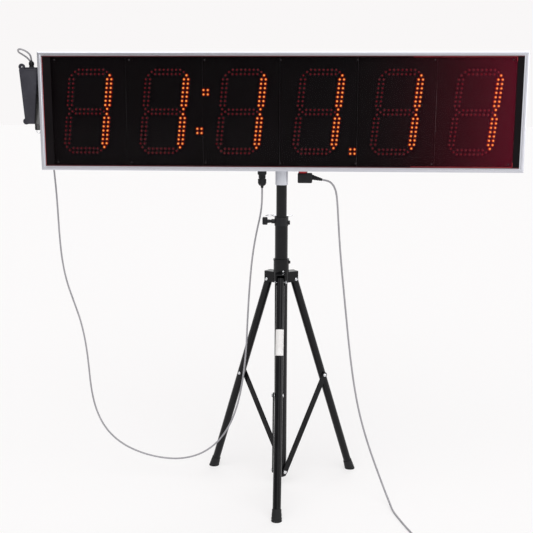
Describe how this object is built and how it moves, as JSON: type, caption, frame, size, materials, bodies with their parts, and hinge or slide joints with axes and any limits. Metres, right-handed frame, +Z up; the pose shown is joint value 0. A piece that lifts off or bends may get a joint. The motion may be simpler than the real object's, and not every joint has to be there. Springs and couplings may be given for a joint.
{
  "type": "gym round timer",
  "caption": "Wide red LED digit display in an aluminium frame, on a black folding telescopic tripod stand, with a wired control box hung at its left end.",
  "frame": {"origin": "centre of the footprint of the whole object without its leads, on the floor", "axes": "+X to the right along the display, +Z up, -Y the side the digits face"},
  "size_m": [1.5272, 0.6727, 1.3812],
  "materials": {
    "bare_aluminium": "satin extruded",
    "red_filter": "transparent dark red sheet",
    "black_strip": "flat black",
    "black_paint": "gloss black paint",
    "white_paint": "gloss white paint",
    "zinc": "zinc plated",
    "bright_wire": "bright",
    "black_plastic": "fine grain",
    "box_plastic": "fine grain",
    "grey_cable": "smooth",
    "black_rubber": "matt",
    "red_lens": "clear dome, lit",
    "dark_lens": "clear dome, unlit",
    "circuit_board": "solder mask",
    "red_plastic": "smooth"
  },
  "bodies": {
    "stand": {"outer_tube": "black_paint", "tube_collar": "black_plastic", "tube_end_plug": "black_plastic", "brace_pivot_pins": "zinc"},
    "clamp_knob": {"clamp_knob": "black_plastic"},
    "hub": {"hub": "black_paint", "hub_pins": "zinc"},
    "hub_screw": {"hub_screw": "black_plastic"},
    "bush": {"guide_bush": "black_plastic", "power_lead": "grey_cable", "power_lead_coil": "grey_cable", "mains_plug": "black_rubber", "plug_pins": "zinc"},
    "locking_ring": {"locking_ring": "red_plastic"},
    "safety_pin": {"safety_pin": "bright_wire"},
    "leg_front": {"leg_front": "black_paint", "leg_rivet_front": "zinc", "foot_front": "black_rubber"},
    "brace_front": {"brace_front": "black_paint"},
    "leg_right": {"leg_right": "black_paint", "leg_rivet_right": "zinc", "foot_right": "black_rubber"},
    "brace_right": {"brace_right": "black_paint"},
    "leg_left": {"leg_left": "black_paint", "leg_rivet_left": "zinc", "foot_left": "black_rubber"},
    "brace_left": {"brace_left": "black_paint"},
    "mast": {"board_standoffs": "zinc", "cable_hook": "bright_wire", "control_board": "circuit_board", "control_box": "box_plastic", "control_box_cap": "box_plastic", "control_box_gland": "black_plastic", "control_bracket": "black_paint", "controller_board": "circuit_board", "corner_brackets": "zinc", "cover_screws": "zinc", "dark_lamps": "dark_lens", "digit_boards": "circuit_board", "display_gland": "black_plastic", "elbow_plug": "black_plastic", "filter_end_strips": "black_strip", "filter_screws": "zinc", "frame_bottom": "bare_aluminium", "frame_left": "bare_aluminium", "frame_right": "bare_aluminium", "frame_top": "bare_aluminium", "front_filter": "red_filter", "gland_nut": "black_plastic", "inner_tube": "black_paint", "lit_lamps": "red_lens", "pole_socket": "white_paint", "power_inlet": "black_plastic", "power_strain_relief": "black_rubber", "power_supply": "bare_aluminium", "rear_cover": "bare_aluminium", "signal_cable": "grey_cable", "socket_bolts": "zinc", "socket_plate": "zinc", "socket_set_screw": "black_plastic"}
  },
  "joints": [
    {"name": "hub_slide", "type": "slide", "parent": "stand", "child": "hub", "axis": [0, 0, 1], "range_m": [0, 0.0488]},
    {"name": "swivel", "type": "hinge", "parent": "stand", "child": "bush", "pos_m": [0.037, 0.0671, 0.86], "axis": [0, 0, 1], "range_deg": [-12, 60]},
    {"name": "mast_height", "type": "slide", "parent": "bush", "child": "mast", "axis": [0, 0, 1], "range_m": [0, 0.6], "deforming": ["power_lead"]},
    {"name": "safety_pin_pull", "type": "slide", "parent": "mast", "child": "safety_pin", "axis": [-1, 0, 0], "range_m": [0, 0.075]},
    {"name": "clamp_knob_turn", "type": "hinge", "parent": "stand", "child": "clamp_knob", "pos_m": [0.007, 0.0671, 0.861], "axis": [1, 0, 0], "range_deg": [0, 270]},
    {"name": "hub_screw_turn", "type": "hinge", "parent": "hub", "child": "hub_screw", "pos_m": [0.065, 0.0671, 0.733], "axis": [1, 0, 0], "range_deg": [0, 270]},
    {"name": "locking_ring_turn", "type": "hinge", "parent": "mast", "child": "locking_ring", "pos_m": [0.102, 0.0671, 1.015], "axis": [0, 0, 1], "range_deg": [0, 60]},
    {"name": "leg_front_hinge", "type": "hinge", "parent": "hub", "child": "leg_front", "pos_m": [0.037, 0.0221, 0.677], "axis": [1, 0, 0], "range_deg": [0, 18.17]},
    {"name": "brace_front_hinge", "type": "hinge", "parent": "stand", "child": "brace_front", "pos_m": [0.0147, 0.0631, 0.046], "axis": [-1, 0, 0], "range_deg": [0, 19.04]},
    {"name": "leg_right_hinge", "type": "hinge", "parent": "hub", "child": "leg_right", "pos_m": [0.07597, 0.0896, 0.677], "axis": [-0.5, 0.866, 0], "range_deg": [0, 18.17]},
    {"name": "brace_right_hinge", "type": "hinge", "parent": "stand", "child": "brace_right", "pos_m": [0.05161, 0.04979, 0.046], "axis": [0.5, -0.866, 0], "range_deg": [0, 19.04]},
    {"name": "leg_left_hinge", "type": "hinge", "parent": "hub", "child": "leg_left", "pos_m": [-0.00197, 0.0896, 0.677], "axis": [-0.5, -0.866, 0], "range_deg": [0, 18.17]},
    {"name": "brace_left_hinge", "type": "hinge", "parent": "stand", "child": "brace_left", "pos_m": [0.04469, 0.08841, 0.046], "axis": [0.5, 0.866, 0], "range_deg": [0, 19.04]}
  ],
  "couplings": [
    {"joint": "leg_front_hinge", "follows": "hub_slide", "rad_per_m": 6.4932},
    {"joint": "brace_front_hinge", "follows": "hub_slide", "rad_per_m": 6.8064},
    {"joint": "leg_right_hinge", "follows": "hub_slide", "rad_per_m": 6.4932},
    {"joint": "brace_right_hinge", "follows": "hub_slide", "rad_per_m": 6.8064},
    {"joint": "leg_left_hinge", "follows": "hub_slide", "rad_per_m": 6.4932},
    {"joint": "brace_left_hinge", "follows": "hub_slide", "rad_per_m": 6.8064}
  ]
}
